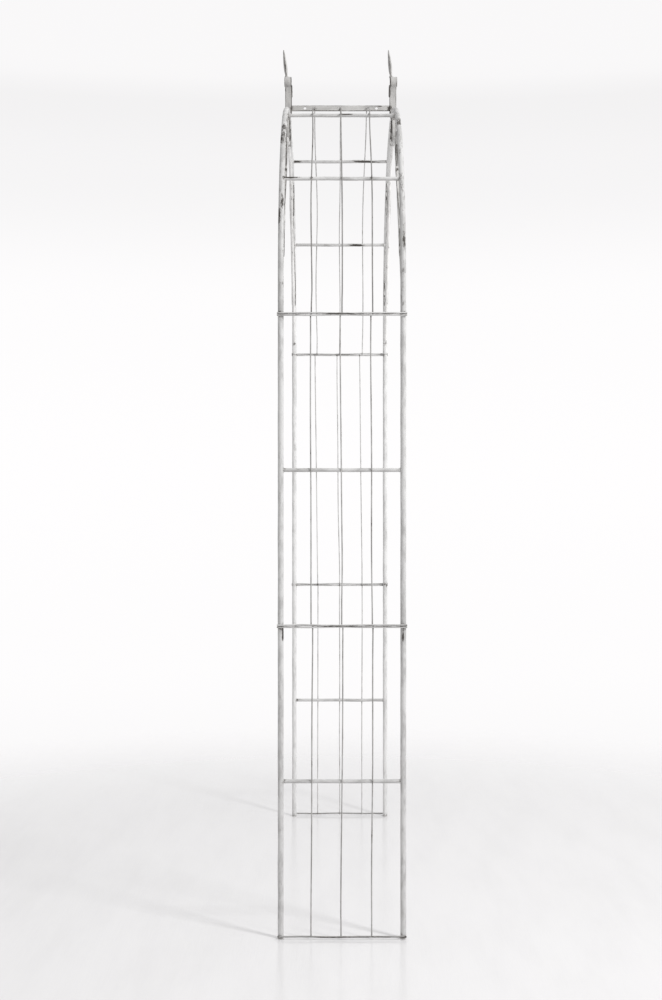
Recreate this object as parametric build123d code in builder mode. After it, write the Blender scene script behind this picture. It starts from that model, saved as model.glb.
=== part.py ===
from build123d import *
import os
from math import asin, cos, degrees, hypot, radians, sin, sqrt

os.makedirs("parts", exist_ok=True)

# A metal trellis arch. Units are millimetres.
# X runs across the path, Y through the depth of the arch, Z is up.
# The feet stand on Z = 0 and the origin is midway between the four legs.

# ------------------------------------------------------------------ driving sizes
span = 1200.0  # between the centres of the two side panels
depth = 315.0  # between the centres of the front and back legs
section_length = 800.0  # tube length of one leg section
rail_straight = 67.0  # straight foot of an arch rail, above the spring joint

# Tubes, bars and rods
leg_diameter = 15.0
leg_wall = 1.2
end_rung_diameter = 4.5
rung_diameter = 10.0
rung_wall = 1.0
rod_diameter = 3.5
inner_diameter = 10.0
scroll_width = 12.0
scroll_thickness = 3.0

# Feet and joints
plug_flange = 3.0
plug_stem = 20.0
fit_clearance = 0.1  # radial, plug or spigot in tube
spigot_length = 100.0
bottom_rung_rise = 4.0  # lowest rung, above the tube's end
rung_overhang = 2.0  # end rungs, past the outside of the legs
joint_gap = 0.5  # between the two rungs that meet at a joint

# Arch
rung_angles = (30.0, 62.0)  # cross rungs, in degrees up from the spring
flat_thickness = 3.0
flat_height = 16.0
flat_rise = 25.0  # middle of the flats, above the rails' apex
flat_hole_diameter = 8.0
flat_hole_inset = 59.5  # hole centre, in from the end of the flat

# Inner arch
inner_foot = 30.0  # where it leaves the rail, above the spring joint
inner_lean = 52.5  # degrees, slope of its long straight stretch
inner_crown_slope = 7.5  # degrees
inner_drop = 83.0  # peak of the inner arch, below the rails' apex
inner_knee_radius = 150.0

# Scrolls: share of the widest gap that each volute fills, and its arcs
upper_fill = 0.90
lower_fill = 0.68
mid_clearance = 2.0  # centre volutes, from the middle of the arch
volute_shrink = 0.66  # each arc's radius, of the one before it
volute_turns = (160.0, 160.0)  # degrees, of the two inner arcs
haunch_turn = 235.0  # degrees, outer arc of a haunch volute
centre_turn = 260.0

# Finials
petal_width = 20.0
petal_thickness = 3.0
petal_part = 50.0  # height above the apex where the two petals part
petal_arcs = ((70.0, 40.0), (28.0, 100.0), (12.0, 190.0))  # radius, degrees
petal_sink = 1.5  # foot of the petal, below the top of the rail
spear_rise = 201.0  # tip, above the apex
tang_half_depth = 4.5
knuckle_rise = 119.0  # bead between the stem and the leaf, above the apex
knuckle_radius = 6.0
leaf_foot = 122.0
leaf_belly = 152.0
leaf_half_width = 13.0
leaf_half_thickness = 4.8
leaf_swell = (0.57, 0.62)  # half width midway below and above the belly, of the sum at both ends
neck_half_width = 2.5
neck_half_thickness = 3.0
spear_tip_half = 0.8

# ------------------------------------------------------------------ derived places
leg_radius = leg_diameter / 2
end_rung_radius = end_rung_diameter / 2
rung_radius = rung_diameter / 2
rod_radius = rod_diameter / 2
inner_radius = inner_diameter / 2
bore_radius = leg_radius - leg_wall
fit_radius = bore_radius - fit_clearance

panel_x = span / 2
face_y = depth / 2
rod_x = panel_x + leg_radius - rod_radius
rung_x = rod_x - rod_radius - rung_radius
end_rung_x = panel_x + leg_radius + end_rung_radius
end_rung_length = depth + 2 * (leg_radius + rung_overhang)
rod_places = (-depth / 4, 0.0, depth / 4)

lower_z = plug_flange
upper_z = lower_z + section_length
spring_z = upper_z + section_length
arch_z = spring_z + rail_straight
apex_z = arch_z + panel_x
flat_z = apex_z + flat_rise
rung_set_in = rung_x - panel_x
rung_from_joint = end_rung_radius + joint_gap / 2
cut_reach = 2 * (depth + span)

SIDES = ((-1, "left"), (1, "right"))
FACES = ((-1, "front"), (1, "back"))


def save(name, builder):
    """Label a finished piece and write it to its own file."""
    builder.part.label = name
    export_step(builder.part, f"parts/{name}.step")


def face_plane(side, y):
    """Upright plane at one depth: local x runs outward from the middle, local y is height."""
    return Plane(origin=(0, y, 0), x_dir=(side, 0, 0), z_dir=(0, -side, 0))


def square_to(path):
    """Plane across the start of a path."""
    return Plane(origin=path @ 0, z_dir=path % 0)


# ------------------------------------------------------------------ leg sections
def leg(side, y, z):
    with BuildPart() as tube:
        with BuildSketch(Plane.XY.offset(z)):
            with Locations((side * panel_x, y)):
                Circle(leg_radius)
                Circle(bore_radius, mode=Mode.SUBTRACT)
        extrude(amount=section_length)
    return tube


def end_rung(side, z):
    """Thin rung laid across the outside of the two legs."""
    with BuildPart() as rung:
        with BuildSketch(Plane.XZ.offset(-end_rung_length / 2)):
            with Locations((side * end_rung_x, z)):
                Circle(end_rung_radius)
        extrude(amount=end_rung_length)
    return rung


def middle_rung(side, z):
    """Tube rung, coped to fit between the two legs."""
    with BuildPart() as rung:
        with BuildSketch(Plane.XZ.offset(-depth / 2)):
            with Locations((side * rung_x, z)):
                Circle(rung_radius)
                Circle(rung_radius - rung_wall, mode=Mode.SUBTRACT)
        extrude(amount=depth)
        with Locations((side * panel_x, -face_y, z), (side * panel_x, face_y, z)):
            Cylinder(leg_radius, 2 * rung_diameter, mode=Mode.SUBTRACT)
    return rung


def panel_rods(side, bottom, top):
    """The three upright rods of one leg section."""
    with BuildPart() as rods:
        with BuildSketch(Plane.XY.offset(bottom)):
            with Locations(*[(side * rod_x, y) for y in rod_places]):
                Circle(rod_radius)
        extrude(amount=top - bottom)
    return rods


def leg_section(side, name, z, bottom_rung_z):
    """Everything that is welded into one leg section."""
    top_rung_z = z + section_length - rung_from_joint
    for face, face_name in FACES:
        save(f"{name}_{face_name}_leg", leg(side, face * face_y, z))
    save(f"{name}_bottom_rung", end_rung(side, bottom_rung_z))
    save(f"{name}_middle_rung", middle_rung(side, z + section_length / 2))
    save(f"{name}_top_rung", end_rung(side, top_rung_z))
    rod_bottom = bottom_rung_z - end_rung_radius
    rod_top = top_rung_z + end_rung_radius
    save(f"{name}_rods", panel_rods(side, rod_bottom, rod_top))


for side, side_name in SIDES:
    leg_section(side, f"{side_name}_lower", lower_z, lower_z + bottom_rung_rise)
    leg_section(side, f"{side_name}_upper", upper_z, upper_z + rung_from_joint)

with BuildPart() as foot_plugs:
    foot_places = [(side * panel_x, face * face_y) for side, _ in SIDES for face, _ in FACES]
    with BuildSketch():
        with Locations(*foot_places):
            Circle(leg_radius)
    extrude(amount=plug_flange)
    with BuildSketch(Plane.XY.offset(plug_flange)):
        with Locations(*foot_places):
            Circle(fit_radius)
    extrude(amount=plug_stem)
save("foot_plugs", foot_plugs)

with BuildPart() as leg_spigots:
    for joint_z in (upper_z, spring_z):
        with BuildSketch(Plane.XY.offset(joint_z - spigot_length / 2)):
            with Locations(*foot_places):
                Circle(fit_radius)
        extrude(amount=spigot_length)
save("leg_spigots", leg_spigots)


# ------------------------------------------------------------------ arch rails
def bent_rail(side, y, hollow=True):
    """Arch rail: a straight foot and a quarter circle. Solid, it is the shape to cope against."""
    with BuildPart() as rail:
        with BuildLine(face_plane(side, y)) as path:
            Line((panel_x, spring_z), (panel_x, arch_z))
            CenterArc((0, arch_z), panel_x, 0, 90)
        with BuildSketch(square_to(path.line)):
            Circle(leg_radius)
            if hollow:
                Circle(bore_radius, mode=Mode.SUBTRACT)
        sweep(path=path.line)
    return rail


solid_rails = {}
for side, side_name in SIDES:
    for face, face_name in FACES:
        save(f"{side_name}_arch_{face_name}_rail", bent_rail(side, face * face_y))
        solid_rails[side, face] = bent_rail(side, face * face_y, hollow=False).part

spigot_half_angle = degrees(spigot_length / 2 / panel_x)
with BuildPart() as apex_spigots:
    for face, _ in FACES:
        with BuildLine(face_plane(1, face * face_y)) as spigot_path:
            CenterArc((0, arch_z), panel_x, 90 - spigot_half_angle, 2 * spigot_half_angle)
        with BuildSketch(square_to(spigot_path.line)):
            Circle(fit_radius)
        sweep(path=spigot_path.line)
save("apex_spigots", apex_spigots)


# ------------------------------------------------------------------ arch rungs, rods and flats
def arch_rung(side, angle):
    """Tube rung between the two rails of one half, coped at both ends."""
    reach = panel_x + rung_set_in
    x = side * reach * cos(radians(angle))
    z = arch_z + reach * sin(radians(angle))
    with BuildPart() as rung:
        with BuildSketch(Plane.XZ.offset(-depth / 2)):
            with Locations((x, z)):
                Circle(rung_radius)
                Circle(rung_radius - rung_wall, mode=Mode.SUBTRACT)
        extrude(amount=depth)
        for face, _ in FACES:
            add(solid_rails[side, face], mode=Mode.SUBTRACT)
    return rung


def arch_rods(side):
    """Three rods over the outside of the rungs, running straight at the end to meet the flat."""
    leave_angle = degrees(asin(rod_x / (flat_z - arch_z)))
    leave = (rod_x * cos(radians(leave_angle)), arch_z + rod_x * sin(radians(leave_angle)))
    with BuildPart() as rods:
        for y in rod_places:
            with BuildLine(face_plane(side, y)) as path:
                Line((rod_x, spring_z + joint_gap / 2), (rod_x, arch_z))
                CenterArc((0, arch_z), rod_x, 0, leave_angle)
                Line(leave, (0, flat_z))
            with BuildSketch(square_to(path.line)):
                Circle(rod_radius)
            sweep(path=path.line)
        flat_face = Plane(origin=(side * flat_thickness, 0, 0), z_dir=(side, 0, 0))
        split(bisect_by=flat_face, keep=Keep.TOP)
    return rods


def apex_flat(side):
    """Flat bar at the crown, one on each half, bolted face to face."""
    flat_length = depth + petal_width
    hole_y = flat_length / 2 - flat_hole_inset
    with BuildPart() as flat:
        with BuildSketch(Plane.YZ):
            with Locations((0, flat_z)):
                Rectangle(flat_length, flat_height)
            with Locations((-hole_y, flat_z), (hole_y, flat_z)):
                Circle(flat_hole_diameter / 2, mode=Mode.SUBTRACT)
        extrude(amount=side * flat_thickness)
    return flat


for side, side_name in SIDES:
    save(f"{side_name}_arch_spring_rung", end_rung(side, spring_z + rung_from_joint))
    for angle, rung_name in zip(rung_angles, ("first", "second")):
        save(f"{side_name}_arch_{rung_name}_rung", arch_rung(side, angle))
    save(f"{side_name}_arch_rods", arch_rods(side))
    save(f"{side_name}_apex_flat", apex_flat(side))

# ------------------------------------------------------------------ inner arches
# In the face plane: a long straight lean from the rail, a wide knee, then a shallow crown.
inner_start = (panel_x, spring_z + inner_foot)
inner_peak = (0.0, apex_z - inner_drop)
lean_slope = sin(radians(inner_lean)) / cos(radians(inner_lean))
crown_slope = sin(radians(inner_crown_slope)) / cos(radians(inner_crown_slope))
knee_x = (inner_start[1] + lean_slope * panel_x - inner_peak[1]) / (lean_slope - crown_slope)
inner_knee = (knee_x, inner_peak[1] - crown_slope * knee_x)


def inner_arch(side, face):
    with BuildPart() as bar:
        with BuildLine(face_plane(side, face * face_y)) as path:
            FilletPolyline(inner_peak, inner_knee, inner_start, radius=inner_knee_radius)
        with BuildSketch(square_to(path.line)):
            Circle(inner_radius)
        sweep(path=path.line)
        split(bisect_by=Plane(origin=(0, 0, 0), z_dir=(side, 0, 0)), keep=Keep.TOP)
        add(solid_rails[side, face], mode=Mode.SUBTRACT)
    return bar


# ------------------------------------------------------------------ scrolls
class Gap:
    """The space in a face plane between the inside of a rail and a straight of the inner arch.

    Places in it are measured from the centre of the arch's curve: away from the straight along
    `out`, and along the straight, towards the crown, along `up`.
    """

    def __init__(self, point, slope_angle):
        self.out = (sin(radians(slope_angle)), cos(radians(slope_angle)))
        self.up = (-self.out[1], self.out[0])
        straight = point[0] * self.out[0] + (point[1] - arch_z) * self.out[1]
        self.near = straight + inner_radius
        self.far = panel_x - leg_radius
        self.width = self.far - self.near

    def centre(self, radius, along):
        """Centre of a circle that touches the straight, `along` from the gap's widest place."""
        away = self.near + radius
        x = away * self.out[0] + along * self.up[0]
        return x, arch_z + away * self.out[1] + along * self.up[1]

    def touching(self, radius, towards_crown):
        """Centre of a circle of this radius that touches the straight and the rail."""
        along = sqrt((self.far - radius) ** 2 - (self.near + radius) ** 2)
        return self.centre(radius, along if towards_crown else -along)


haunch = Gap(inner_start, inner_lean)
crown = Gap(inner_peak, inner_crown_slope)


def volute(start, tangent, radius, first_turn, hand):
    """Tangent arcs that wind inward from a start point. hand is 1 for anticlockwise."""
    arc = JernArc(start, tangent, radius, hand * first_turn)
    for turn in volute_turns:
        radius *= volute_shrink
        arc = JernArc(arc @ 1, arc % 1, radius, hand * turn)


def haunch_scroll(side, face):
    """S-scroll whose two volutes each touch the rail and the inner arch."""
    big = upper_fill * haunch.width / 2
    small = lower_fill * haunch.width / 2
    (bx, bz), (sx, sz) = haunch.touching(big, True), haunch.touching(small, False)
    big_bend = big - scroll_thickness / 2
    small_bend = small - scroll_thickness / 2
    apart = hypot(sx - bx, sz - bz)
    ax, az = (sx - bx) / apart, (sz - bz) / apart
    rise = (big_bend + small_bend) / apart
    ex, ez = ax * rise + az * sqrt(1 - rise**2), az * rise - ax * sqrt(1 - rise**2)
    big_point = (bx + big_bend * ex, bz + big_bend * ez)
    small_point = (sx - small_bend * ex, sz - small_bend * ez)
    run = (small_point[0] - big_point[0], small_point[1] - big_point[1])
    with BuildPart() as scroll:
        with BuildSketch(face_plane(side, face * face_y)):
            with BuildLine():
                Line(big_point, small_point)
                volute(big_point, (-run[0], -run[1]), big_bend, haunch_turn, -1)
                volute(small_point, run, small_bend, haunch_turn, -1)
            trace(line_width=scroll_thickness)
        extrude(amount=scroll_width / 2, both=True)
    return scroll


def centre_volute(side, face):
    """Volute between the rail and the crown of the inner arch, beside the middle."""
    guess = crown.width / 2
    middle_x = guess + mid_clearance
    along = (crown.out[0] * (crown.near + guess) - middle_x) / crown.out[1]
    radius = (crown.width - along**2 / (crown.far + crown.near)) / 2
    cx, cz = crown.centre(radius, along)
    reach = hypot(cx, cz - arch_z)
    ux, uz = cx / reach, (cz - arch_z) / reach
    bend = radius - scroll_thickness / 2
    with BuildPart() as scroll:
        with BuildSketch(face_plane(side, face * face_y)):
            with BuildLine():
                volute((cx + bend * ux, cz + bend * uz), (-uz, ux), bend, centre_turn, 1)
            trace(line_width=scroll_thickness)
        extrude(amount=scroll_width / 2, both=True)
    return scroll


# ------------------------------------------------------------------ finials
def petal(side, face):
    """Flat bar that stands on the rail beside the flat and curls outward."""
    middle = flat_thickness + petal_thickness / 2
    foot = (middle, apex_z + leg_radius - petal_sink)
    part = (middle, apex_z + petal_part)
    with BuildPart() as bar:
        with BuildSketch(face_plane(side, face * face_y)):
            with BuildLine():
                stem = Line(foot, part)
                end, heading = stem @ 1, stem % 1
                for radius, turn in petal_arcs:
                    arc = JernArc(end, heading, radius, -turn)
                    end, heading = arc @ 1, arc % 1
            trace(line_width=petal_thickness)
        extrude(amount=petal_width / 2, both=True)
        add(solid_rails[side, face], mode=Mode.SUBTRACT)
    return bar


def half_leaf(foot_z, foot_half, neck_z, neck, belly_z, belly, tip_z, tip):
    """Half outline of the spear: a straight stem, a neck, then a leaf that swells to its belly."""
    Line((0, foot_z), (foot_half, foot_z))
    Line((foot_half, foot_z), (foot_half, neck_z))
    Line((foot_half, neck_z), (neck, neck_z))
    below, above = leaf_swell
    ThreePointArc((neck, neck_z), ((neck + belly) * below, (neck_z + belly_z) / 2), (belly, belly_z))
    ThreePointArc((belly, belly_z), ((belly + tip) * above, (belly_z + tip_z) / 2), (tip, tip_z))
    Line((tip, tip_z), (0, tip_z))
    Line((0, tip_z), (0, foot_z))


def spear(face):
    """Leaf-shaped point on a flat stem that is held between the two petals."""
    y = face * face_y
    foot_z = flat_z + flat_height / 2
    neck_z, belly_z, tip_z = apex_z + leaf_foot, apex_z + leaf_belly, apex_z + spear_rise
    across = (foot_z, flat_thickness, neck_z, neck_half_width, belly_z, leaf_half_width)
    edge_on = (foot_z, tang_half_depth, neck_z, neck_half_thickness, belly_z, leaf_half_thickness)
    with BuildPart() as blade:
        with BuildSketch(face_plane(1, y)):
            with BuildLine():
                half_leaf(*across, tip_z, spear_tip_half)
            make_face()
            mirror(about=Plane.YZ)
        extrude(amount=leaf_half_width, both=True)
        with BuildSketch(Plane(origin=(0, y, 0), x_dir=(0, 1, 0), z_dir=(1, 0, 0))):
            with BuildLine():
                half_leaf(*edge_on, tip_z, spear_tip_half)
            make_face()
            mirror(about=Plane.YZ)
        extrude(amount=leaf_half_width, both=True, mode=Mode.INTERSECT)
        with Locations((0, y, apex_z + knuckle_rise)):
            Sphere(knuckle_radius)
    return blade


for face, face_name in FACES:
    save(f"{face_name}_spear", spear(face))
    for side, side_name in SIDES:
        name = f"{side_name}_{face_name}"
        save(f"{name}_inner_arch", inner_arch(side, face))
        save(f"{name}_haunch_scroll", haunch_scroll(side, face))
        save(f"{name}_centre_volute", centre_volute(side, face))
        save(f"{name}_petal", petal(side, face))
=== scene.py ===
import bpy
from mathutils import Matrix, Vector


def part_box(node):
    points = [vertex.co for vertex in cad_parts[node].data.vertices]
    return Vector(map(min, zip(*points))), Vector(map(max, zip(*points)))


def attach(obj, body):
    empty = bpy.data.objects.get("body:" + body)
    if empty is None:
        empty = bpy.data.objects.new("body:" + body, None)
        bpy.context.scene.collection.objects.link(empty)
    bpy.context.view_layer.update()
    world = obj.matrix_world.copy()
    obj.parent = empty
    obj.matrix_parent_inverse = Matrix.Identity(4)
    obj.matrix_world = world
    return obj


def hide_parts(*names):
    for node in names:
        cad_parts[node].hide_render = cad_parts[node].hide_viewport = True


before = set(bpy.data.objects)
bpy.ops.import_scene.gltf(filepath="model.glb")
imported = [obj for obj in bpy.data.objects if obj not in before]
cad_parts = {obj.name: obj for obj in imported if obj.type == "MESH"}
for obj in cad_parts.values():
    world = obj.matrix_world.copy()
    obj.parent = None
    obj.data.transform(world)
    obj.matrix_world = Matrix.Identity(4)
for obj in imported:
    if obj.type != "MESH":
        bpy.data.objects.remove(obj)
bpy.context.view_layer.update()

import random
from bisect import bisect_right
from cmath import rect
from math import asin, ceil, cos, pi, radians, sin, sqrt

import bpy
import numpy as np
from mathutils import Vector, noise

# A metal trellis arch in aged white paint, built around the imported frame. Units are metres.
# "Along" is distance along a bar. A place in a face of the arch is one complex number:
# its real part runs outward from the middle of the arch, its imaginary part is the height.
# Each bar has a seed, which sets how it wavers and which part of the paint's pattern it shows.

SIDES = ((-1, "left"), (1, "right"))
FACES = ((-1, "front"), (1, "back"))
SECTIONS = ("lower", "upper")
LEG_RUNGS = ("bottom", "middle", "top")
UP = Vector((0, 0, 1))
DEPTH = Vector((0, 1, 0))


# ------------------------------------------------------------------ sizes, from the frame
def centre(node):
    lowest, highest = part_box(node)
    return (lowest + highest) / 2


def half(node):
    lowest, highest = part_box(node)
    return (highest - lowest) / 2


leg_radius = half("right_lower_front_leg").x
panel_x = centre("right_lower_front_leg").x
face_y = -centre("right_lower_front_leg").y
lower_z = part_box("right_lower_front_leg")[0].z
spring_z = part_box("right_arch_front_rail")[0].z
apex_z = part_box("right_arch_front_rail")[1].z - leg_radius
arch_z = apex_z - panel_x
end_rung_radius = half("right_lower_top_rung").z
rung_radius = half("right_lower_middle_rung").z
rod_radius = half("right_lower_rods").x
rod_x = centre("right_lower_rods").x
rod_spread = half("right_lower_rods").y - rod_radius
rod_places = (-rod_spread, 0.0, rod_spread)
flat_z = centre("right_apex_flat").z
flat_half = half("right_apex_flat")
flat_thickness = 2 * flat_half.x
spear_tip_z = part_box("front_spear")[1].z

# Shapes that a box can't give, as the CAD has them.
inner_radius = 0.005
inner_foot = 0.030
inner_lean = 52.5
inner_crown_slope = 7.5
inner_drop = 0.083
inner_knee_radius = 0.150
scroll_width = 0.012
scroll_thickness = 0.003
petal_width = 0.020
petal_thickness = 0.003
petal_part = 0.050
petal_arcs = ((0.070, 40.0), (0.028, 100.0), (0.012, 190.0))
upper_fill = 0.90
lower_fill = 0.68
mid_clearance = 0.002
volute_shrink = 0.66
volute_turns = (160.0, 160.0)
haunch_turn = 235.0
centre_turn = 260.0
hole_radius = 0.0043
hole_inset = 0.0595

# How true the bars are.
END_RINGS = (0.0, 0.12, 0.45, 1.0)  # where a rounded end has its rings, as shares of its length
HELD_TRUE = 0.06  # a bar doesn't wander this near its ends
EDGE_REACH = 0.004  # the paint is thin this near a cut end
UNEVEN = 0.012  # share by which a bar's thickness varies
SHORT_WAVES = (0.10, 0.35)
LONG_WAVES = (0.45, 0.95)
WELD_DEPTH = 0.0015  # a coped rung runs this far into its weld beads
LOW_RUNG_SHORT = 0.0015  # the lowest rungs stop this much short at each end

# ------------------------------------------------------------------ where the paint is rubbed, and where shade is painted
# (place, how far it reaches each way, strength). Some spots are painted shade, as marked. The welds add
# their own as they are made.
rub_and_shade_spots = [
    ((-0.604, 0.1515, 0.779), (0.008, 0.0042, 0.018), 1.0),
    ((-0.600, 0.1645, 0.830), (0.010, 0.0034, 0.022), 0.75),
    ((-0.607, -0.1565, 0.776), (0.006, 0.0038, 0.017), 1.0),
    ((-0.575, 0.164, 1.856), (0.020, 0.0060, 0.050), 0.42),
    ((-0.560, 0.154, 1.905), (0.020, 0.0060, 0.045), 0.40),
    ((-0.420, 0.158, 2.100), (0.045, 0.012, 0.045), 0.36),
    ((-0.385, 0.158, 2.135), (0.040, 0.012, 0.030), 0.36),
    ((0.440, 0.158, 2.080), (0.050, 0.012, 0.050), 0.38),
    ((-0.588, -0.160, 1.790), (0.020, 0.0060, 0.055), 0.42),
    ((-0.350, -0.158, 2.158), (0.045, 0.010, 0.045), 0.36),
    ((0.530, -0.158, 1.946), (0.030, 0.010, 0.035), 0.40),
    ((-0.5235, 0.134, 1.973), (0.010, 0.032, 0.0052), 1.0),
    ((0.275, 0.138, 2.198), (0.012, 0.020, 0.005), 0.65),
    ((0.275, -0.078, 2.198), (0.012, 0.052, 0.005), 0.65),
    ((0.515, -0.058, 1.968), (0.012, 0.042, 0.005), 0.65),
    ((-0.285, -0.014, 2.201), (0.012, 0.026, 0.0042), 0.9),
    ((-0.003, -0.115, 2.302), (0.006, 0.014, 0.004), 0.7),
    # Painted shade: dark bands down the +Y side of both near legs, the side turned away from the key light.
    ((-0.598, 0.1655, 0.100), (0.006, 0.0030, 0.090), 0.55),
    ((-0.598, -0.1500, 0.110), (0.006, 0.0030, 0.080), 0.50),
    ((-0.598, 0.1655, 0.760), (0.006, 0.0030, 0.060), 0.50),
    ((-0.598, 0.1655, 1.560), (0.006, 0.0030, 0.050), 0.50),
    # Painted shade and grime: a dark band along the near bottom rung, by the floor.
    ((-0.611, -0.020, 0.004), (0.004, 0.170, 0.005), 0.5),
    ((-0.611, -0.162, 0.006), (0.006, 0.005, 0.004), 0.9),
    ((-0.611, 0.100, 1.603), (0.004, 0.060, 0.004), 0.55),
]


# ------------------------------------------------------------------ lines
class Track:
    """A line through points, read by distance along it."""

    def __init__(self, points):
        self.points = [Vector(p) for p in points]
        self.marks = [0.0]
        for a, b in zip(self.points, self.points[1:]):
            self.marks.append(self.marks[-1] + (b - a).length)
        self.length = self.marks[-1]

    def point(self, along):
        i = min(max(bisect_right(self.marks, along) - 1, 0), len(self.marks) - 2)
        share = (along - self.marks[i]) / (self.marks[i + 1] - self.marks[i])
        return self.points[i].lerp(self.points[i + 1], share)

    def heading(self, along):
        reach = 0.0008
        return (self.point(along + reach) - self.point(along - reach)).normalized()


def arc_on(places, heading, radius, turn):
    """Adds an arc that starts along heading to a list of places, and returns the new heading."""
    hub = places[-1] + heading * 1j * (radius if turn > 0 else -radius)
    spoke = places[-1] - hub
    longest_step = 0.006
    steps = max(4, ceil(abs(turn) / 4), ceil(radius * radians(abs(turn)) / longest_step))
    places.extend(hub + spoke * rect(1, radians(turn) * i / steps) for i in range(1, steps + 1))
    return heading * rect(1, radians(turn))


def in_face(side, y, places):
    return [Vector((side * p.real, y, p.imag)) for p in places]


# ------------------------------------------------------------------ outlines
def round_bar(radius, sides=20):
    """Each place is (across, out, how much of an edge it is)."""
    turns = [2 * pi * i / sides for i in range(sides)]
    return [(radius * cos(turn), radius * sin(turn), 0.0) for turn in turns]


def strip(width, thickness, corner=0.0009):
    """Flat bar with rounded edges."""
    inner = width / 2 - corner
    rim = thickness / 2 - corner
    places = []
    for sx, sy, first in ((1, 1, 0), (-1, 1, 90), (-1, -1, 180), (1, -1, 270)):
        for turn in (0, 45, 90):
            spoke = rect(corner, radians(first + turn))
            places.append((sx * inner + spoke.real, sy * rim + spoke.imag, 1.0))
        if sx * sy > 0:
            for share in (0.8, 0.3, -0.3, -0.8):
                places.append((sx * inner * share, sy * thickness / 2, 0.0))
    return places


# ------------------------------------------------------------------ how a bar's end is shaped
# Each gives a bar's width and thickness at one place along it, as shares of the outline's own.
def even(along, length):
    return 1.0, 1.0


def forged(end):
    """Thinned and rounded near a free end, as a drawn-out scroll tip is."""
    tip = max(0.0, 1 - end / 0.006)
    return 1 - 0.35 * tip**2, min(1.0, 0.55 + 0.45 * end / 0.035)


def forged_ends(along, length):
    return forged(min(along, length - along))


def forged_tip(along, length):
    return forged(length - along)


def tongue(along, length):
    """Rounded at the free end of a petal, and a little thinner there."""
    end = length - along
    tip = max(0.0, 1 - end / 0.011)
    return sqrt(max(0.02, 1 - tip**2)), min(1.0, 0.72 + 0.28 * end / 0.05)


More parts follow.
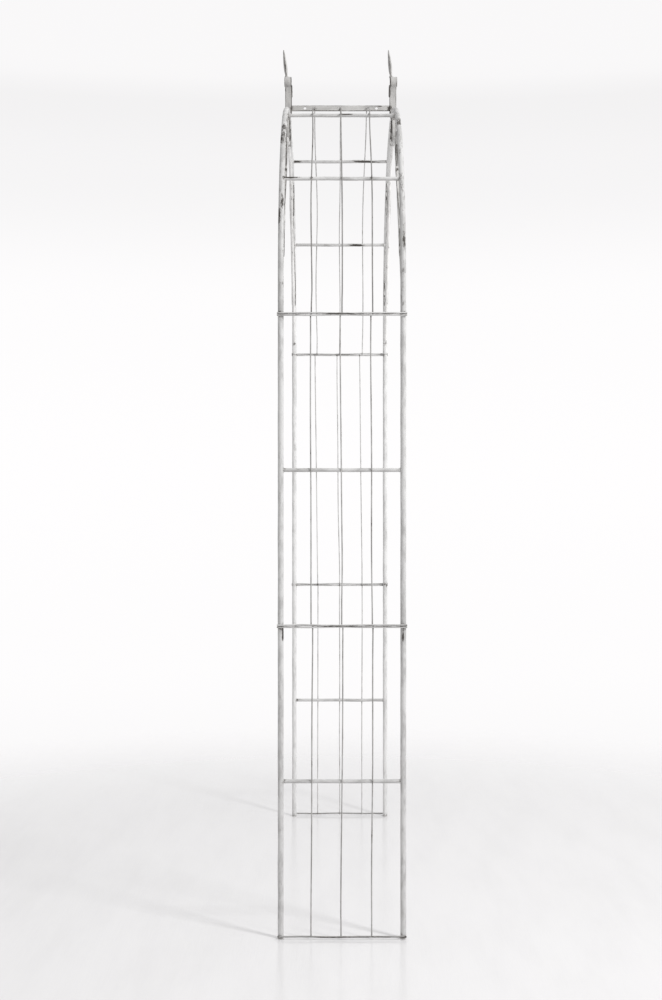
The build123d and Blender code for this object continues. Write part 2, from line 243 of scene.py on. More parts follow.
# ------------------------------------------------------------------ pieces
class Piece:
    """Collects bars and welds into one mesh, with what the paint needs to know of each point."""

    def __init__(self):
        self.places = []
        self.faces = []
        self.bars = []
        self.edges = []

    def add(self, place, bar, edge):
        self.places.append(place)
        self.bars.append(tuple(bar))
        self.edges.append(edge)

    def skin(self, first, rows, around):
        """Faces round a stack of rings, and over both its ends."""
        for row in range(rows - 1):
            for i in range(around):
                a, b = first + row * around + i, first + row * around + (i + 1) % around
                self.faces.append((a, b, b + around, a + around))
        self.faces.append(tuple(first + i for i in reversed(range(around))))
        self.faces.append(tuple(first + (rows - 1) * around + i for i in range(around)))

    def bar(self, points, outline, across, shape=even, step=0.012, soft=0.001, sway=0.0,
            wave=SHORT_WAVES, seed=0):
        """Sweeps an outline along points. Its ends are rounded over by soft, and sway is how far
        the bar wanders, in waves of the lengths that wave gives."""
        track = Track(points)
        length = track.length
        draw = random.Random(seed)
        waves = [(draw.uniform(*wave), draw.uniform(0, 2 * pi), draw.uniform(0, 2 * pi)) for _ in range(3)]
        shift = draw.uniform(0, 10)
        size = max(max(abs(u), abs(v)) for u, v, _ in outline)
        ends = [soft * share for share in END_RINGS]
        count = max(2, ceil((length - 2 * soft) / step))
        body = [soft + (length - 2 * soft) * i / count for i in range(1, count)]
        stations = ends + body + [length - e for e in reversed(ends)]
        first = len(self.places)
        for along in stations:
            point, heading = track.point(along), track.heading(along)
            side_way = (across - heading * across.dot(heading)).normalized()
            out_way = heading.cross(side_way)
            end = min(along, length - along)
            inset = soft - sqrt(max(0.0, soft**2 - max(0.0, soft - end) ** 2))
            scale_u, scale_v = shape(along, length)
            hold = min(1.0, end / HELD_TRUE) ** 2
            drift_u = sway * hold * sum(sin(2 * pi * along / w + a) for w, a, _ in waves) / 2
            drift_v = sway * hold * sum(sin(2 * pi * along / w + b) for w, _, b in waves) / 5
            swell = 1 + UNEVEN * noise.noise((shift, seed * 0.37, along * 60))
            tight = max(0.0, 1 - inset / size) * swell
            for u, v, edge in outline:
                offset_u, offset_v = u * scale_u * tight + drift_u, v * scale_v * tight + drift_v
                self.add(point + side_way * offset_u + out_way * offset_v,
                         (u + shift, v + seed * 0.11, along), max(edge, 1 - end / EDGE_REACH))
        self.skin(first, len(stations), len(outline))

    def bead(self, hub, axis, radius, thickness, seed, out_way=None):
        """Weld bead round a bar, rippled and uneven. With out_way it follows the round of the tube
        that it sits on."""
        axis = axis.normalized()
        start = axis.orthogonal().normalized() if out_way is None else out_way
        other = axis.cross(start)
        majors, minors, ripples = 36, 8, 11
        first = len(self.places)
        for i in range(majors):
            turn = 2 * pi * i / majors
            spoke = start * cos(turn) + other * sin(turn)
            bulge = noise.noise(spoke * 1.7 + Vector((seed * 3.1, 0, 0)))
            ripple = 0.12 * abs(sin(ripples * turn / 2))
            thick = thickness * (0.85 + ripple + 0.35 * bulge)
            across = 0.0 if out_way is None else radius * cos(turn)
            sink = leg_radius - sqrt(leg_radius**2 - across**2)
            for j in range(minors):
                roll = 2 * pi * j / minors
                rise = thick * sin(roll) + 0.4 * thickness * bulge + sink
                place = hub + spoke * (radius + thick * cos(roll)) + axis * rise
                self.add(place, place, 0.25)
        for i in range(majors):
            row, next_row = first + i * minors, first + (i + 1) % majors * minors
            for j in range(minors):
                k = (j + 1) % minors
                self.faces.append((row + j, next_row + j, next_row + k, row + k))
        rub_and_shade_spots.append((tuple(hub), (radius + 0.012,) * 3, 0.13))

    def dab(self, hub, radii, seed, wear_and_shade=0.22):
        """Uneven dab of weld metal."""
        hub = Vector(hub)
        rows, around = 7, 12
        first = len(self.places)
        for i in range(1, rows):
            tilt = pi * i / rows
            for j in range(around):
                turn = 2 * pi * j / around
                spoke = Vector((sin(tilt) * cos(turn), sin(tilt) * sin(turn), cos(tilt)))
                swell = 1 + 0.32 * noise.noise(spoke * 1.6 + Vector((seed * 2.3, seed * 0.7, 0)))
                place = hub + Vector([s * r * swell for s, r in zip(spoke, radii)])
                self.add(place, place, 0.2)
        for sign in (1, -1):
            place = hub + UP * sign * radii[2] * 0.97
            self.add(place, place, 0.2)
        top, bottom = len(self.places) - 2, len(self.places) - 1
        last_row = first + (rows - 2) * around
        for j in range(around):
            k = (j + 1) % around
            self.faces.append((top, first + j, first + k))
            self.faces.append((bottom, last_row + k, last_row + j))
            for i in range(rows - 2):
                a, b = first + i * around + j, first + i * around + k
                self.faces.append((a, a + around, b + around, b))
        rub_and_shade_spots.append((tuple(hub), (max(radii) + 0.006,) * 3, wear_and_shade))

    def drill(self, mesh, holes):
        """Cuts round holes along X through a crown flat, and works out again what the paint needs
        to know of each point."""
        cutter = Piece()
        reach = Vector((0.01, 0, 0))
        for hole in holes:
            cutter.bar([hole - reach, hole + reach], round_bar(hole_radius, 32), UP, step=0.02, soft=0.0001)
        cutter_mesh = bpy.data.meshes.new("cutter")
        cutter_mesh.from_pydata([tuple(p) for p in cutter.places], [], cutter.faces)
        tool, blank = bpy.data.objects.new("cutter", cutter_mesh), bpy.data.objects.new("blank", mesh)
        for thing in (tool, blank):
            bpy.context.scene.collection.objects.link(thing)
        cut = blank.modifiers.new("cut", "BOOLEAN")
        cut.object = tool
        bpy.context.view_layer.update()
        ready = blank.evaluated_get(bpy.context.evaluated_depsgraph_get())
        drilled = bpy.data.meshes.new_from_object(ready)
        for thing in (tool, blank):
            bpy.data.objects.remove(thing)
        self.places, self.bars, self.edges = [], [], []
        rim = 0.0009
        for vertex in drilled.vertices:
            x, y, z = vertex.co
            to_edge = min(flat_half.z - abs(z - holes[0].z), flat_half.y - abs(y))
            self.add(vertex.co.copy(), (x, z, y), 1.0 if to_edge < rim else 0.0)
        return drilled

    def finish(self, name, slot, *nodes, look=None, holes=()):
        """Makes the object, in the slot's own paint unless a look is given."""
        mesh = bpy.data.meshes.new(name)
        mesh.from_pydata([tuple(p) for p in self.places], [], self.faces)
        if holes:
            mesh = self.drill(mesh, holes)
        mesh.shade_smooth()
        mesh.set_sharp_from_angle(angle=radians(48))
        where = np.array([tuple(p) for p in self.places])
        # Edge wear, raised at the listed spots: rubbed paint, and painted shade where so marked.
        wear_and_shade = 0.45 * np.clip(np.array(self.edges), 0, 1)
        for place, reach, strength in rub_and_shade_spots:
            gap = np.linalg.norm((where - np.array(place)) / np.array(reach), axis=1)
            wear_and_shade = np.maximum(wear_and_shade, strength * np.clip(1.4 * (1 - gap), 0, 1))
        bar = mesh.attributes.new("bar", "FLOAT_VECTOR", "POINT")
        bar.data.foreach_set("vector", np.array(self.bars, np.float32).ravel())
        rub_and_shade_layer = mesh.attributes.new("wear_and_shade", "FLOAT", "POINT")
        rub_and_shade_layer.data.foreach_set("value", wear_and_shade.astype(np.float32))
        mesh.materials.clear()
        own = right_finishes.get(slot, finishes[slot]) if name.startswith("right_") else finishes[slot]
        mesh.materials.append(look or own)
        piece = bpy.data.objects.new(name, mesh)
        bpy.context.scene.collection.objects.link(piece)
        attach(piece, "root")
        if nodes:
            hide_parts(*nodes)


def sweep(name, slot, node, points, outline, across=DEPTH, look=None, holes=(), **how):
    """A piece that is one bar."""
    piece = Piece()
    piece.bar(points, outline, across, **how)
    piece.finish(name, slot, node, look=look, holes=holes)


# ------------------------------------------------------------------ materials
class Graph:
    """Short calls for adding nodes to a tree."""

    def __init__(self, tree):
        self.tree = tree

    def node(self, kind, inputs=(), **settings):
        made = self.tree.nodes.new(kind)
        for key, value in settings.items():
            setattr(made, key, value)
        for socket, value in inputs:
            self.feed(made.inputs[socket], value)
        return made

    def feed(self, socket, value):
        if isinstance(value, bpy.types.NodeSocket):
            self.tree.links.new(value, socket)
        else:
            socket.default_value = value


class Shader(Graph):
    """One node material."""

    def __init__(self, name):
        self.material = bpy.data.materials.new(name)
        self.material.use_nodes = True
        super().__init__(self.material.node_tree)
        self.principled = self.tree.nodes["Principled BSDF"]

    def mapped(self, vector, scale, offset=(0, 0, 0)):
        inputs = [("Vector", vector), ("Scale", scale), ("Location", offset)]
        return self.node("ShaderNodeMapping", inputs).outputs[0]

    def noise(self, vector, scale, detail=4.0, roughness=0.55):
        inputs = [("Vector", vector), ("Scale", scale), ("Detail", detail), ("Roughness", roughness)]
        return self.node("ShaderNodeTexNoise", inputs).outputs["Fac"]

    def sum(self, *terms):
        """Adds (value, factor) pairs."""
        total = 0.0
        for value, factor in terms:
            inputs = [(0, value), (1, factor), (2, total)]
            total = self.node("ShaderNodeMath", inputs, operation="MULTIPLY_ADD").outputs[0]
        return total

    def span(self, value, start, end):
        """0 below start, 1 above end, and a smooth rise between them."""
        inputs = [("Value", value), ("From Min", start), ("From Max", end)]
        return self.node("ShaderNodeMapRange", inputs, interpolation_type="SMOOTHSTEP").outputs[0]

    def mix(self, share, a, b):
        """A colour between two others, each a colour or a socket."""
        a, b = (c if isinstance(c, bpy.types.NodeSocket) else (*c, 1.0) for c in (a, b))
        return self.node("ShaderNodeMix", [(0, share), (6, a), (7, b)], data_type="RGBA").outputs[2]

    def bump(self, height, distance, strength=1.0):
        inputs = [("Height", height), ("Distance", distance), ("Strength", strength)]
        self.feed(self.principled.inputs["Normal"], self.node("ShaderNodeBump", inputs).outputs[0])


STAIN = (0.255, 0.238, 0.222)
METAL = (0.058, 0.052, 0.047)


def aged_paint(name, pale, dull, limit, offset, fineness=1.0, stain_reach=0.10):
    """White paint over dark steel, rubbed through in streaks along the bar and in chips near
    joints and edges, and darkened at the listed spots, some of which are painted shade. A higher limit
    leaves more of the paint, and offset moves the pattern."""
    s = Shader(name)
    bar = s.node("ShaderNodeAttribute", attribute_name="bar").outputs["Vector"]
    wear_and_shade = s.node("ShaderNodeAttribute", attribute_name="wear_and_shade").outputs["Fac"]
    body = s.node("ShaderNodeTexCoord").outputs["Object"]
    streaks = s.noise(s.mapped(bar, (1, 1, 0.11), (offset, 0, 0)), 520 * fineness, 5, 0.62)
    patches = s.noise(s.mapped(bar, (1, 1, 0.45), (0, offset, 0)), 42 * fineness, 4, 0.6)
    chips = s.noise(s.mapped(body, (1, 1, 1), (offset, offset, 0)), 400, 3, 0.75)
    tone = s.noise(s.mapped(bar, (1, 1, 0.3), (0, 0, offset)), 95, 5, 0.65)
    cloud = s.noise(body, 9, 3)
    peel = s.noise(body, 1700, 2)
    score = s.sum((streaks, 0.62), (patches, 0.62), (chips, 0.42), (wear_and_shade, 0.55))
    through = s.span(score, limit + 0.04, limit + 0.08)
    stained = s.span(score, limit - stain_reach, limit + 0.07)
    paint = s.mix(s.span(s.sum((tone, 0.7), (cloud, 0.5)), 0.50, 0.74), pale, dull)
    aged = s.mix(s.sum((stained, 0.75)), paint, STAIN)
    rough = s.sum((tone, 0.22), (through, 0.16), (stained, 0.10), (peel, 0.10), (1.0, 0.30))
    s.feed(s.principled.inputs["Base Color"], s.mix(through, aged, METAL))
    s.feed(s.principled.inputs["Roughness"], rough)
    s.principled.inputs["Specular IOR Level"].default_value = 0.42
    s.bump(s.sum((through, -1.0), (stained, -0.25), (peel, 0.22), (streaks, 0.35)), 0.00035, 0.8)
    return s.material


def bare_steel():
    """Drawn tube steel with a grey oxide skin, seen only when the sections come apart."""
    s = Shader("bare_steel")
    body = s.node("ShaderNodeTexCoord").outputs["Object"]
    drawn = s.noise(s.mapped(body, (1, 1, 0.05)), 900, 4, 0.6)
    skin = s.noise(body, 60, 5, 0.65)
    rust = s.span(s.sum((skin, 0.8), (drawn, 0.3)), 0.60, 0.78)
    s.feed(s.principled.inputs["Base Color"], s.mix(rust, (0.30, 0.29, 0.28), (0.16, 0.10, 0.065)))
    s.feed(s.principled.inputs["Roughness"], s.sum((drawn, 0.25), (rust, 0.30), (1.0, 0.22)))
    s.principled.inputs["Metallic"].default_value = 0.8
    s.bump(s.sum((drawn, 0.6), (rust, 0.5)), 0.0002)
    return s.material


def plug_plastic():
    """Pale moulded plastic, scuffed and greyed where it meets the ground."""
    s = Shader("foot_plug")
    body = s.node("ShaderNodeTexCoord").outputs["Object"]
    grain = s.noise(body, 2400, 2)
    scuff = s.noise(s.mapped(body, (1, 1, 2.5)), 300, 5, 0.7)
    height = s.node("ShaderNodeSeparateXYZ", [(0, body)]).outputs["Z"]
    dirt = s.span(s.sum((height, -120.0), (scuff, 0.9)), 0.05, 0.5)
    s.feed(s.principled.inputs["Base Color"], s.mix(dirt, (0.62, 0.612, 0.60), (0.42, 0.405, 0.39)))
    s.feed(s.principled.inputs["Roughness"], s.sum((scuff, 0.25), (grain, 0.10), (1.0, 0.38)))
    s.bump(s.sum((grain, 0.4), (scuff, 0.6)), 0.00012)
    return s.material


# Each paint: its colour where it is whole and where it is dull, the limit and the offset,
# and where they aren't the usual ones, the fineness and the stain's reach.
WHITE, GREY = (0.620, 0.615, 0.611), (0.440, 0.435, 0.430)
paints = {
    "painted_tube": (WHITE, GREY, 1.02, 0.0),
    "painted_rung": (WHITE, GREY, 1.00, 3.7),
    "painted_rod": ((0.46, 0.453, 0.444), (0.29, 0.283, 0.274), 0.93, 7.1),
    "painted_inner_arch": ((0.60, 0.592, 0.58), (0.42, 0.413, 0.405), 0.925, 11.9, 1.5, 0.03),
    "painted_scroll": ((0.58, 0.572, 0.56), (0.40, 0.39, 0.375), 0.94, 16.3),
    "painted_flat": ((0.52, 0.512, 0.50), (0.42, 0.412, 0.40), 1.00, 21.5),
    "painted_finial": ((0.49, 0.482, 0.47), (0.36, 0.352, 0.345), 0.955, 27.1),
}
# The right half has paler copies of these paints.
right_paints = {
    "painted_rod": ((0.64, 0.632, 0.624), (0.45, 0.442, 0.434), 0.96, 7.1),
    "painted_tube": ((0.77, 0.765, 0.76), (0.60, 0.595, 0.59), 1.02, 0.0),
    "painted_inner_arch": ((0.84, 0.83, 0.82), (0.66, 0.65, 0.64), 0.95, 11.9, 1.5, 0.03),
    "painted_scroll": ((0.80, 0.79, 0.78), (0.62, 0.61, 0.60), 0.98, 16.3, 1.0, 0.05),
}
finishes = {slot: aged_paint(slot, *paint) for slot, paint in paints.items()}
finishes["bare_steel"] = bare_steel()
finishes["foot_plug"] = plug_plastic()
right_finishes = {slot: aged_paint(f"{slot}_right", *paint) for slot, paint in right_paints.items()}
left_rail = aged_paint("painted_rail", (0.56, 0.555, 0.550), (0.41, 0.405, 0.40), 0.925, 5.3, 1.7, 0.03)
left_arch_rod = aged_paint("painted_arch_rod", (0.29, 0.284, 0.276), (0.17, 0.165, 0.16), 0.885, 7.1)
# The lowest rungs are painted darker: grime, and painted shade near the floor.
low_rung_grime_and_shade = aged_paint("painted_low_rung", (0.36, 0.355, 0.35), (0.22, 0.215, 0.21), 0.94, 9.7)

# ------------------------------------------------------------------ where the rods run
# A rod that isn't named here runs straight. Each line is (height, depth) pairs.
rod_lines = {
    ("left", "lower", 2): ((0.033, 0.0797), (0.766, 0.0753)),
    ("left", "lower", 1): ((0.033, 0.0026), (0.766, -0.0023)),
    ("left", "lower", 0): ((0.033, -0.0761), (0.766, -0.0795)),
    ("left", "upper", 2): ((0.830, 0.0794), (1.563, 0.0807)),
    ("left", "upper", 1): ((0.830, 0.0010), (0.946, -0.0021), (1.152, 0.0015), (1.400, 0.0046)),
    ("left", "upper", 0): ((0.830, -0.0779), (1.023, -0.0764), (1.473, -0.0741)),
    ("right", "lower", 2): ((0.033, 0.0765), (0.766, 0.0754)),
    ("right", "lower", 0): ((0.033, -0.0767), (0.766, -0.0780)),
    ("right", "upper", 2): ((0.830, 0.0764), (1.566, 0.0855)),
    ("right", "upper", 1): ((0.830, 0.0), (1.100, 0.0050), (1.566, 0.0090)),
    ("right", "upper", 0): ((0.850, -0.0777), (1.566, -0.0695)),
}


def rod_y(side_name, part, index, z):
    """A rod's depth at a height, with the corners of its line rounded off."""
    line = rod_lines.get((side_name, part, index), ((z, rod_places[index]),))
    heights, depths = zip(*line)
    reach = np.linspace(-0.06, 0.06, 9)
    return float(np.mean(np.interp(z + reach, heights, depths)))


# ------------------------------------------------------------------ lines of the inner arch and scrolls
def inner_line():
    """From the rail up a long lean, round the knee, and along the shallow crown to the middle."""
    start, peak = panel_x + 1j * (spring_z + inner_foot), 1j * (apex_z - inner_drop)
    lean, slope = rect(1, radians(180 - inner_lean)), rect(1, radians(180 - inner_crown_slope))
    to_peak = peak - start
    run = (to_peak * slope.conjugate()).imag / (lean * slope.conjugate()).imag
    turn = inner_lean - inner_crown_slope
    cut = inner_knee_radius * sin(radians(turn / 2)) / cos(radians(turn / 2))
    through_wall = leg_radius / sin(radians(90 - inner_lean))
    places = [start + lean * 0.6 * through_wall, start + lean * (run - cut)]
    arc_on(places, lean, inner_knee_radius, turn)
    places.append(peak)
    return places


class Gap:
    """The space in a face between the inside of a rail and a straight of the inner arch."""

    def __init__(self, place, slope):
        self.out = rect(1, radians(90 - slope))
        self.up = self.out * 1j
        straight = ((place - 1j * arch_z) * self.out.conjugate()).real
        self.near = straight + inner_radius
        self.far = panel_x - leg_radius
        self.width = self.far - self.near

    def middle(self, radius, along):
        return 1j * arch_z + self.out * (self.near + radius) + self.up * along

    def touching(self, radius, sign):
        return self.middle(radius, sign * sqrt((self.far - radius) ** 2 - (self.near + radius) ** 2))


haunch = Gap(panel_x + 1j * (spring_z + inner_foot), inner_lean)
crown = Gap(1j * (apex_z - inner_drop), inner_crown_slope)


def volute(start, heading, radius, first_turn, hand):
    places = [start]
    heading = arc_on(places, heading, radius, hand * first_turn)
    for turn in volute_turns:
        radius *= volute_shrink
        heading = arc_on(places, heading, radius, hand * turn)
    return places


def haunch_line():
    """The S-scroll, and the four places where it touches the rail and the inner arch."""
    big, small = upper_fill * haunch.width / 2, lower_fill * haunch.width / 2
    big_hub, small_hub = haunch.touching(big, 1), haunch.touching(small, -1)
    big_bend, small_bend = big - scroll_thickness / 2, small - scroll_thickness / 2
    apart = abs(small_hub - big_hub)
    way = (small_hub - big_hub) / apart
    rise = (big_bend + small_bend) / apart
    spoke = way * (rise - 1j * sqrt(1 - rise**2))
    big_place, small_place = big_hub + big_bend * spoke, small_hub - small_bend * spoke
    run = (small_place - big_place) / abs(small_place - big_place)
    upper = volute(big_place, -run, big_bend, haunch_turn, -1)
    lower = volute(small_place, run, small_bend, haunch_turn, -1)
    touches = []
    for hub, radius in ((big_hub, big), (small_hub, small)):
        reach = hub - 1j * arch_z
        touches += [hub - haunch.out * radius, hub + reach / abs(reach) * radius]
    return upper[::-1] + lower, touches


def crown_line():
    """The centre volute, and the two places where it touches the rail and the inner arch."""
    guess = crown.width / 2
    along = (crown.out.real * (crown.near + guess) - guess - mid_clearance) / crown.out.imag
    radius = (crown.width - along**2 / (crown.far + crown.near)) / 2
    hub = crown.middle(radius, along)
    spoke = (hub - 1j * arch_z) / abs(hub - 1j * arch_z)
    bend = radius - scroll_thickness / 2
    line = volute(hub + bend * spoke, spoke * 1j, bend, centre_turn, 1)
    return line, [hub + spoke * radius, hub - crown.out * radius]


inner_places = inner_line()
haunch_places, haunch_touches = haunch_line()
crown_places, crown_touches = crown_line()

# ------------------------------------------------------------------ welds
# They come first, because the paint of the bars is rubbed near them.
# Dabs of weld are given by how far they reach each way from their middle.
INNER_FOOT_DAB = (0.0026, 0.0046, 0.0029)
OUTER_FOOT_DAB = (0.0024, 0.0032, 0.0026)
ROD_DAB = (0.0016, 0.0032, 0.0021)
ARCH_ROD_DAB = (0.0017, 0.0032, 0.0017)
FLAT_ROD_DAB = (0.0020, 0.0036, 0.0034)
FLAT_END_DAB = (0.0020, 0.0016, 0.0058)
SCROLL_DAB = (0.0032, 0.0052, 0.0032)
PETAL_DAB = (0.0042, 0.0088, 0.0024)
RUNG_BEAD = 0.0016
INNER_ARCH_BEAD = 0.0018
LOW_WEAR = 0.35  # share of the usual wear at the lowest rungs' dabs


def is_lowest(part, rung):
    return part == "lower" and rung == "bottom"


def weld_thin_rung(piece, side, z, seed, lowest=False):
    """Dabs where a thin end rung is laid across the two legs. The lowest rungs have only the
    inner ones."""
    x = side * (panel_x + leg_radius - 0.0004)
    for face, _ in FACES:
        inner, outer = face * (face_y - 0.0052), face * (face_y + 0.0050)
        piece.dab((x, inner, z), INNER_FOOT_DAB, seed + face, wear_and_shade=0.30 * (LOW_WEAR if lowest else 1.0))
        if not lowest:
            piece.dab((x, outer, z), OUTER_FOOT_DAB, seed + face + 5, wear_and_shade=0.34)


def weld_tube_rung(piece, x, z, out_way, seed):
    """Beads round both ends of a tube rung, where it is coped to the tubes at the sides."""
    for face, _ in FACES:
        hub = Vector((x, face * (face_y - leg_radius), z))
        piece.bead(hub, DEPTH * face, rung_radius, RUNG_BEAD, seed + face, out_way)


for side, side_name in SIDES:
    for part, first_seed in zip(SECTIONS, (0, 40)):
        welds = Piece()
        for number, rung in enumerate(LEG_RUNGS):
            place = centre(f"{side_name}_{part}_{rung}_rung")
            seed = 10 * side + number + first_seed
            thin = rung != "middle"
            if thin:
                weld_thin_rung(welds, side, place.z, seed, is_lowest(part, rung))
            else:
                weld_tube_rung(welds, place.x, place.z, Vector((side, 0, 0)), seed)
            x = side * (rod_x + (rod_radius if thin else -rod_radius))
            for index in range(3):
                y = rod_y(side_name, part, index, place.z)
                welds.dab((x, y, place.z), ROD_DAB, seed + 3 * index)
        welds.finish(f"{side_name}_{part}_welds", "painted_rung")
        joint_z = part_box(f"{side_name}_{part}_front_leg")[1].z
        joint = (side * (panel_x + leg_radius + rung_radius), 0, joint_z)
        # Painted shadow and rubbed paint: a dark line where two sections meet, standing in for the shadow
        # of the gap between their rungs.
        rub_and_shade_spots.append((joint, (0.010, 0.40, 0.0030), 0.60 if side < 0 else 0.40))

    welds = Piece()
    spring = centre(f"{side_name}_arch_spring_rung")
    weld_thin_rung(welds, side, spring.z, 70 * side)
    for index, y in enumerate(rod_places):
        welds.dab((side * (rod_x + rod_radius), y, spring.z), ROD_DAB, index)
    for rung in ("first", "second"):
        place = centre(f"{side_name}_arch_{rung}_rung")
        out_way = Vector((place.x, 0, place.z - arch_z)).normalized()
        weld_tube_rung(welds, place.x, place.z, out_way, 80 * side)
        for index, y in enumerate(rod_places):
            welds.dab(place + out_way * rung_radius + DEPTH * y, ARCH_ROD_DAB, 90 + index)
    for index, y in enumerate(rod_places):
        welds.dab((side * (flat_thickness + 0.0012), y, flat_z - 0.001), FLAT_ROD_DAB, 96 + index)
    for face, _ in FACES:
        y = face * face_y
        foot, above = in_face(side, y, inner_places[:2])
        welds.bead(foot, above - foot, inner_radius, INNER_ARCH_BEAD, 100 + face)
        for number, place in enumerate(in_face(side, y, haunch_touches + crown_touches)):
            welds.dab(place, SCROLL_DAB, 110 + number + 7 * face, wear_and_shade=0.45)
        petal_foot = (side * (flat_thickness + petal_thickness / 2), y, apex_z + leg_radius)
        flat_end = (side * (flat_thickness + 0.0008), y - face * petal_width / 2, flat_z)
        welds.dab(petal_foot, PETAL_DAB, 130 + face, wear_and_shade=0.55)
        welds.dab(flat_end, FLAT_END_DAB, 140 + face, wear_and_shade=0.5)
    welds.finish(f"{side_name}_arch_welds", "painted_scroll")


# ------------------------------------------------------------------ legs, rungs and rods
def lay_rung(node, thin, seed, sway, short=0.0, look=None):
    """A thin rung lies across the legs, and a tube rung ends in its weld beads."""
    place = centre(node)
    length = half(node).y - short if thin else face_y - leg_radius + WELD_DEPTH
    outline = round_bar(end_rung_radius, 14) if thin else round_bar(rung_radius, 22)
    sweep(f"{node}_bar", "painted_rung", node, [place - DEPTH * length, place + DEPTH * length], outline,
          UP, look, step=0.008, soft=0.0008, sway=sway, seed=seed)


def lay_rods(node, lines, seed, sway, look=None):
    rods = Piece()
    for index, points in enumerate(lines):
        rods.bar(points, round_bar(rod_radius, 10), DEPTH, step=0.010, soft=0.0006, sway=sway,
                 wave=LONG_WAVES, seed=seed + index)
    rods.finish(f"{node}_bent", "painted_rod", node, look=look)


for side, side_name in SIDES:
    for part, first_seed in zip(SECTIONS, (3, 9)):
        for face, face_name in FACES:
            node = f"{side_name}_{part}_{face_name}_leg"
            ends = [(side * panel_x, face * face_y, corner.z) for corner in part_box(node)]
            sweep(f"{node}_tube", "painted_tube", node, ends, round_bar(leg_radius, 28),
                  step=0.014, sway=0.0003, seed=side + 2 * face + first_seed)
        for number, rung in enumerate(LEG_RUNGS):
            thin, lowest = rung != "middle", is_lowest(part, rung)
            lay_rung(f"{side_name}_{part}_{rung}_rung", thin, seed=20 + number + 7 * side,
                     sway=0.0006 if thin else 0.0004, short=LOW_RUNG_SHORT * lowest,
                     look=low_rung_grime_and_shade if lowest else None)
        node = f"{side_name}_{part}_rods"
        bottom, top = (corner.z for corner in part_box(node))
        heights = np.linspace(bottom, top, 60)
        lines = [[(side * rod_x, rod_y(side_name, part, index, z), z) for z in heights]
                 for index in range(3)]
        lay_rods(node, lines, seed=30 + 5 * side, sway=0.0006)

# ------------------------------------------------------------------ arch
rail_places = [panel_x + 1j * spring_z]
rail_places += [rect(panel_x, radians(degrees)) + 1j * arch_z for degrees in np.linspace(0, 90, 91)]
leave = asin(rod_x / (flat_z - arch_z))
rod_arc = [rect(rod_x, turn) + 1j * arch_z for turn in np.linspace(0, leave, 70)]
toward = (1j * flat_z - rod_arc[-1]) / abs(1j * flat_z - rod_arc[-1])
rod_end = 1j * flat_z - toward * flat_thickness / abs(toward.real)
petal_x = flat_thickness + petal_thickness / 2
petal_places = [petal_x + 1j * (apex_z + leg_radius - 0.0008), petal_x + 1j * (apex_z + petal_part)]
heading = 1j
for radius, turn in petal_arcs:
    heading = arc_on(petal_places, heading, radius, -turn)

for side, side_name in SIDES:
    lay_rung(f"{side_name}_arch_spring_rung", thin=True, seed=41 + side, sway=0.0006)
    for number, rung in enumerate(("first", "second")):
        lay_rung(f"{side_name}_arch_{rung}_rung", thin=False, seed=50 + number + side, sway=0.0005)
    node = f"{side_name}_arch_rods"
    line = [rod_x + 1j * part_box(node)[0].z, *rod_arc, rod_end]
    lay_rods(node, [in_face(side, y, line) for y in rod_places], seed=60 + 5 * side, sway=0.0022,
             look=left_arch_rod if side < 0 else None)

    for face, face_name in FACES:
        y, pair, own = face * face_y, f"{side_name}_{face_name}", face + 3 * side
        node = f"{side_name}_arch_{face_name}_rail"
        sweep(f"{node}_tube", "painted_tube", node, in_face(side, y, rail_places),
              round_bar(leg_radius, 28), look=left_rail if side < 0 else None, step=0.010, seed=70 + own)
        sweep(f"{pair}_inner_arch_bar", "painted_inner_arch", f"{pair}_inner_arch",
              in_face(side, y, inner_places), round_bar(inner_radius), step=0.010, soft=0.0008,
              seed=80 + own)
        for kind, places, shape in (("haunch_scroll", haunch_places, forged_ends),
                                    ("centre_volute", crown_places, forged_tip)):
            sweep(f"{pair}_{kind}_ribbon", "painted_scroll", f"{pair}_{kind}", in_face(side, y, places),
                  strip(scroll_width, scroll_thickness), shape=shape, step=0.0045, soft=0.0007,
                  seed=90 + own)
        sweep(f"{pair}_petal_bar", "painted_finial", f"{pair}_petal", in_face(side, y, petal_places),
              strip(petal_width, petal_thickness), shape=tongue, step=0.004, soft=0.0006, seed=100 + own)

# ------------------------------------------------------------------ flats at the crown
for side, side_name in SIDES:
    node = f"{side_name}_apex_flat"
    place = centre(node)
    ends = [place - DEPTH * flat_half.y, place + DEPTH * flat_half.y]
    holes = [place + DEPTH * sign * (flat_half.y - hole_inset) for sign in (-1, 1)]
    sweep(f"{node}_plate", "painted_flat", node, ends, strip(2 * flat_half.z, flat_thickness, 0.0007),
          UP, holes=holes, step=0.006, soft=0.0007, seed=110 + side)

# ------------------------------------------------------------------ spears
# Heights above the rails' apex, and half sizes across the face and through it.
neck_rise, belly_rise, knuckle_rise = 0.122, 0.152, 0.119
stem, neck, belly, tip = (0.0030, 0.0045), (0.0025, 0.0030), (0.0130, 0.0054), (0.0007, 0.0012)
below_belly, above_belly = (0.0088, 0.0050), (0.0086, 0.0044)
knuckle_radius, knuckle_half = 0.0058, 0.0055
STEM_POWER, LEAF_POWER = 6.0, 1.45  # 2 is an ellipse, more is squarer, and less has a sharper edge


def bowed(start, middle, end, share):
    """A value that passes smoothly through three others as share goes from 0 to 1."""
    pull = 2 * middle - (start + end) / 2
    return start * (1 - share) ** 2 + 2 * pull * share * (1 - share) + end * share**2


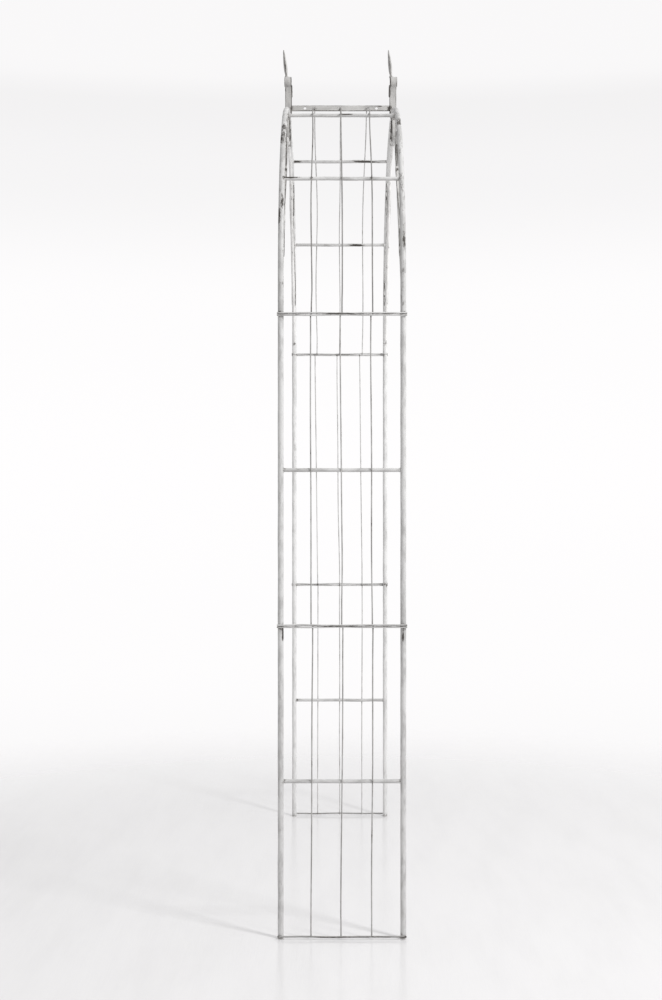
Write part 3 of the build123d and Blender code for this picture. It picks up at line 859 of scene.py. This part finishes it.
def spear_rings():
    """(height, half size across, half size through, power) of each ring, from the foot up."""
    foot_z, neck_z, belly_z = flat_z + flat_half.z, apex_z + neck_rise, apex_z + belly_rise
    rings = [(foot_z + (neck_z - foot_z) * i / 14, *stem, STEM_POWER) for i in range(15)]
    for start_z, end_z, start, middle, end, count, sharper in (
        (neck_z, belly_z, neck, below_belly, belly, 12, 0.0),
        (belly_z, spear_tip_z, belly, above_belly, tip, 18, 0.5),
    ):
        for i in range(1, count + 1):
            share = i / count
            across, through = (bowed(*sizes, share) for sizes in zip(start, middle, end))
            z = start_z + (end_z - start_z) * share
            rings.append((z, across, through, LEAF_POWER + sharper * share**4))
    return rings


def spear(face, face_name, tilt):
    """Flat stem, knuckle bead, and a leaf with a raised midrib. Above the petals it leans back."""
    piece = Piece()
    rings = spear_rings()
    around = 24

    def lean(z):
        return tilt * max(0.0, z - apex_z - petal_part) ** 1.15

    for z, half_x, half_y, power in rings:
        for j in range(around):
            c, s = cos(2 * pi * j / around), sin(2 * pi * j / around)
            x = half_x * abs(c) ** (2 / power) * (1 if c > 0 else -1)
            y = half_y * abs(s) ** (2 / power) * (1 if s > 0 else -1)
            dent = 0.00035 * noise.noise((x * 90, y * 90 + face, z * 70))
            place = Vector((x + dent, face * face_y + y + lean(z) + dent, z))
            piece.add(place, (x, y + 0.4 * face, z), 0.9 * abs(c) ** 8)
    piece.skin(0, len(rings), around)
    knuckle_z = apex_z + knuckle_rise
    knuckle = Vector((0, face * face_y + lean(knuckle_z), knuckle_z))
    ends = [knuckle - UP * knuckle_half, knuckle + UP * knuckle_half]
    piece.bar(ends, round_bar(knuckle_radius, 22), DEPTH, step=0.0012, soft=0.0054, seed=120 + face)
    piece.finish(f"{face_name}_spear_blade", "painted_finial", f"{face_name}_spear")


spear(-1, "front", 0.115)
spear(1, "back", 0.130)

# ------------------------------------------------------------------ feet and spigots
slack = 0.0001  # the caps stay this much inside the legs' outline
for side, side_name in SIDES:
    for face, face_name in FACES:
        foot = Vector((side * panel_x, face * face_y, 0))
        ends = [foot, foot + UP * (lower_z - slack)]
        sweep(f"{side_name}_{face_name}_foot_cap", "foot_plug", "foot_plugs", ends,
              round_bar(leg_radius - slack, 28), step=0.0008, soft=0.0008, seed=130 + side + 3 * face)

for node in ("leg_spigots", "apex_spigots"):
    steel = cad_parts[node]
    steel.data.materials.clear()
    steel.data.materials.append(finishes["bare_steel"])

# ------------------------------------------------------------------ floor, light and camera
FLOOR_RADIUS, FLOOR_SIDES = 4.0, 64
FADE_FROM = (0.8, 0, 0)  # moves the middle of the floor's fade to just in front of the arch
FADE_START, FADE_END = 1.45, 3.1


def floor_material():
    """Pale glossy studio floor, faintly scuffed, that fades into the white beyond the object."""
    s = Shader("studio_floor")
    body = s.node("ShaderNodeTexCoord").outputs["Object"]
    smudge = s.noise(s.mapped(body, (0.6, 2.4, 1)), 3.2, 6, 0.6)
    scratch = s.noise(s.mapped(body, (1.5, 22, 1)), 6, 5, 0.7)
    dull = s.span(smudge, 0.35, 0.75)
    s.feed(s.principled.inputs["Base Color"], s.mix(dull, (0.83, 0.82, 0.825), (0.79, 0.78, 0.785)))
    s.feed(s.principled.inputs["Roughness"], s.sum((smudge, 0.16), (scratch, 0.08), (1.0, 0.02)))
    s.bump(s.sum((scratch, 0.5), (smudge, 1.0)), 0.0012, 0.35)
    from_front = s.mapped(body, (1, 1, 1), FADE_FROM)
    away = s.node("ShaderNodeVectorMath", [(0, from_front)], operation="LENGTH").outputs["Value"]
    clear = s.node("ShaderNodeBsdfTransparent").outputs[0]
    inputs = [(0, s.span(away, FADE_START, FADE_END)), (1, s.principled.outputs[0]), (2, clear)]
    fade = s.node("ShaderNodeMixShader", inputs).outputs[0]
    s.feed(s.tree.nodes["Material Output"].inputs["Surface"], fade)
    return s.material


floor_mesh = bpy.data.meshes.new("studio_floor")
ring = [rect(FLOOR_RADIUS, 2 * pi * i / FLOOR_SIDES) for i in range(FLOOR_SIDES)]
floor_mesh.from_pydata([(p.real, p.imag, 0.0) for p in ring], [], [tuple(range(FLOOR_SIDES))])
floor_mesh.materials.append(floor_material())
floor = bpy.data.objects.new("studio_floor", floor_mesh)
bpy.context.scene.collection.objects.link(floor)

key_place, key_aim = Vector((-2.6, -2.9, 4.2)), Vector((0, 0, 1.1))
key_data = bpy.data.lights.new("key", "AREA")
key_data.shape = "DISK"
key_data.size = 0.8
key_data.energy = 120
key = bpy.data.objects.new("key", key_data)
key.location = key_place
key.rotation_euler = (key_aim - key_place).to_track_quat("-Z", "Y").to_euler()
key.visible_camera = False
bpy.context.scene.collection.objects.link(key)

# The camera and reflections see a backdrop of these levels, from straight down (0) to straight up (1).
# The object is lit by a plain fill, stronger from the front than from the back.
backdrop_levels = (
    (0.36, 0.92), (0.43, 0.99), (0.50, 1.0), (0.56, 0.99),
    (0.609, 0.92), (0.632, 0.895), (0.643, 0.95), (1.0, 0.95),
)
FILL_FRONT, FILL_BACK = 1.06, 0.46
world = bpy.data.worlds.new("studio")
bpy.context.scene.world = world
world.use_nodes = True
sky = Graph(world.node_tree)
way = sky.node("ShaderNodeTexCoord").outputs["Generated"]
parts = sky.node("ShaderNodeSeparateXYZ", [(0, way)]).outputs
from_minus_one = [("From Min", -1.0), ("From Max", 1.0)]
height = sky.node("ShaderNodeMapRange", [("Value", parts["Z"]), *from_minus_one]).outputs[0]
backdrop = sky.node("ShaderNodeValToRGB", [("Fac", height)])
ramp = backdrop.color_ramp
ramp.interpolation = "EASE"
while len(ramp.elements) < len(backdrop_levels):
    ramp.elements.new(0.5)
for element, (place, level) in zip(ramp.elements, backdrop_levels):
    element.position = place
    element.color = (level, level * 0.99, level * 0.995, 1)
fill_levels = [("To Min", FILL_FRONT), ("To Max", FILL_BACK)]
fill = sky.node("ShaderNodeMapRange", [("Value", parts["Y"]), *from_minus_one, *fill_levels]).outputs[0]
path = sky.node("ShaderNodeLightPath").outputs
rays = [(0, path["Is Camera Ray"]), (1, path["Is Glossy Ray"])]
seen = sky.node("ShaderNodeMath", rays, operation="MAXIMUM").outputs[0]
levels = [(0, seen), (6, fill), (7, backdrop.outputs["Color"])]
light = sky.node("ShaderNodeMix", levels, data_type="RGBA")
sky.feed(sky.tree.nodes["Background"].inputs["Color"], light.outputs[2])

camera_data = bpy.data.cameras.new("camera")
camera_data.sensor_fit = "VERTICAL"
camera_data.sensor_height = 36
camera_data.lens = 47.84
camera_data.shift_x = -0.0022
camera_data.shift_y = -0.0315
camera = bpy.data.objects.new("camera", camera_data)
camera.location = (-4.015, 0.0226, 1.207)
camera.rotation_euler = (radians(90), 0, radians(-90))
bpy.context.scene.collection.objects.link(camera)
bpy.context.scene.camera = camera
bpy.context.scene.view_settings.view_transform = "Standard"
